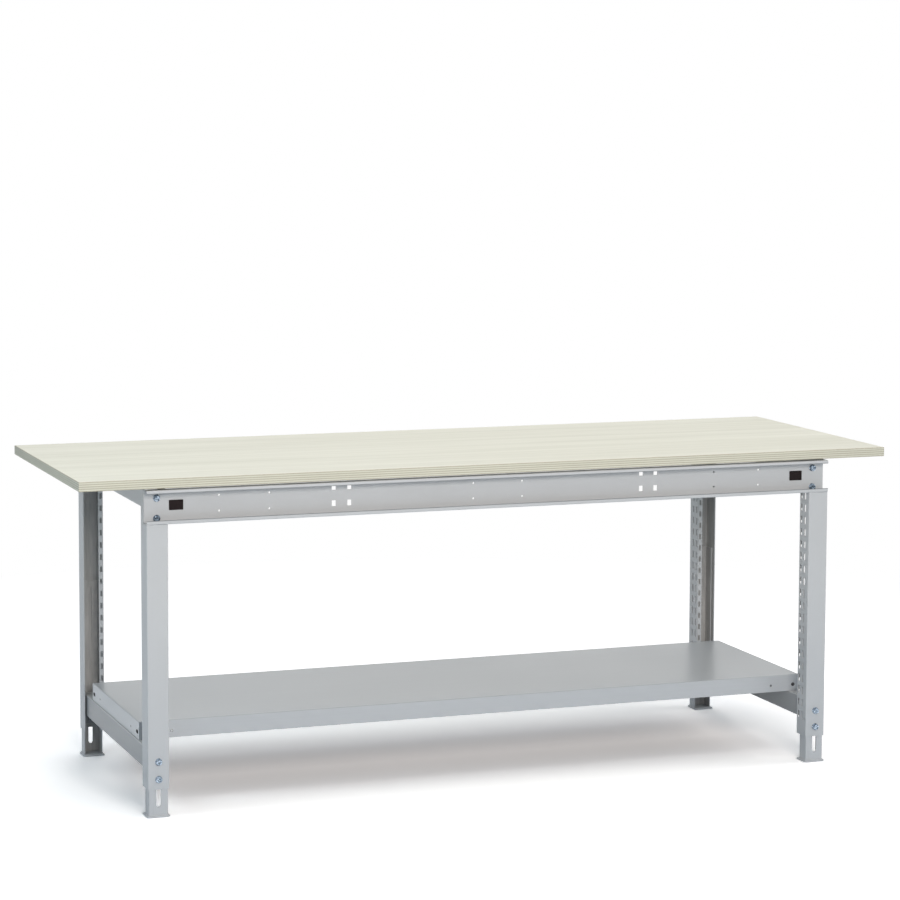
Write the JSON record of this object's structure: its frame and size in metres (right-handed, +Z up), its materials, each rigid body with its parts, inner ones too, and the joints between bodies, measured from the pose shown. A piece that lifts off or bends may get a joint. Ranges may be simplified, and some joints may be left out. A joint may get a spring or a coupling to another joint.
{
  "type": "assembly table",
  "caption": "Assembly table with a wooden top on a bolted, slotted sheet-steel frame, a lower shelf, and feet that slide in the legs to set the working height.",
  "frame": {"origin": "on the floor, under the middle of the whole table, with the feet as in the picture", "axes": "+X along the table to the right of someone at its front, +Y from the front edge to the rear, +Z up"},
  "size_m": [2, 0.707, 0.768],
  "materials": {
    "wood": "satin laminate on plywood",
    "coated_steel": "satin light grey coat",
    "shelf_steel": "satin",
    "zinc": "bright zinc",
    "black_plastic": "matt"
  },
  "bodies": {
    "frame": {"front_left_clamp_bolt_lower": "zinc", "front_left_clamp_bolt_upper": "zinc", "front_left_cover_plug": "black_plastic", "front_left_head_bracket": "coated_steel", "front_left_leg": "coated_steel", "front_left_rail_bolt_lower": "zinc", "front_left_rail_bolt_upper": "zinc", "front_rail": "coated_steel", "front_right_clamp_bolt_lower": "zinc", "front_right_clamp_bolt_upper": "zinc", "front_right_cover_plug": "black_plastic", "front_right_head_bracket": "coated_steel", "front_right_leg": "coated_steel", "front_right_rail_bolt_lower": "zinc", "front_right_rail_bolt_upper": "zinc", "left_crossbar": "coated_steel", "left_shelf_screw_front": "zinc", "left_shelf_screw_rear": "zinc", "left_stretcher": "coated_steel", "left_top_screw_1": "zinc", "left_top_screw_2": "zinc", "left_top_screw_3": "zinc", "left_top_screw_4": "zinc", "rear_left_clamp_bolt_lower": "zinc", "rear_left_clamp_bolt_upper": "zinc", "rear_left_cover_plug": "black_plastic", "rear_left_head_bracket": "coated_steel", "rear_left_leg": "coated_steel", "rear_left_rail_bolt_lower": "zinc", "rear_left_rail_bolt_upper": "zinc", "rear_rail": "coated_steel", "rear_right_clamp_bolt_lower": "zinc", "rear_right_clamp_bolt_upper": "zinc", "rear_right_cover_plug": "black_plastic", "rear_right_head_bracket": "coated_steel", "rear_right_leg": "coated_steel", "rear_right_rail_bolt_lower": "zinc", "rear_right_rail_bolt_upper": "zinc", "right_crossbar": "coated_steel", "right_shelf_screw_front": "zinc", "right_shelf_screw_rear": "zinc", "right_stretcher": "coated_steel", "right_top_screw_1": "zinc", "right_top_screw_2": "zinc", "right_top_screw_3": "zinc", "right_top_screw_4": "zinc", "shelf": "shelf_steel", "shelf_stiffener": "shelf_steel", "tabletop": "wood"},
    "front_left_foot": {"front_left_foot_channel": "coated_steel", "front_left_foot_plate": "coated_steel"},
    "front_right_foot": {"front_right_foot_channel": "coated_steel", "front_right_foot_plate": "coated_steel"},
    "rear_left_foot": {"rear_left_foot_channel": "coated_steel", "rear_left_foot_plate": "coated_steel"},
    "rear_right_foot": {"rear_right_foot_channel": "coated_steel", "rear_right_foot_plate": "coated_steel"}
  },
  "joints": [
    {"name": "front_left_foot_slide", "type": "slide", "parent": "frame", "child": "front_left_foot", "axis": [0, 0, 1], "range_m": [-0.28, 0.058]},
    {"name": "front_right_foot_slide", "type": "slide", "parent": "frame", "child": "front_right_foot", "axis": [0, 0, 1], "range_m": [-0.28, 0.058]},
    {"name": "rear_left_foot_slide", "type": "slide", "parent": "frame", "child": "rear_left_foot", "axis": [0, 0, 1], "range_m": [-0.28, 0.058]},
    {"name": "rear_right_foot_slide", "type": "slide", "parent": "frame", "child": "rear_right_foot", "axis": [0, 0, 1], "range_m": [-0.28, 0.058]}
  ]
}
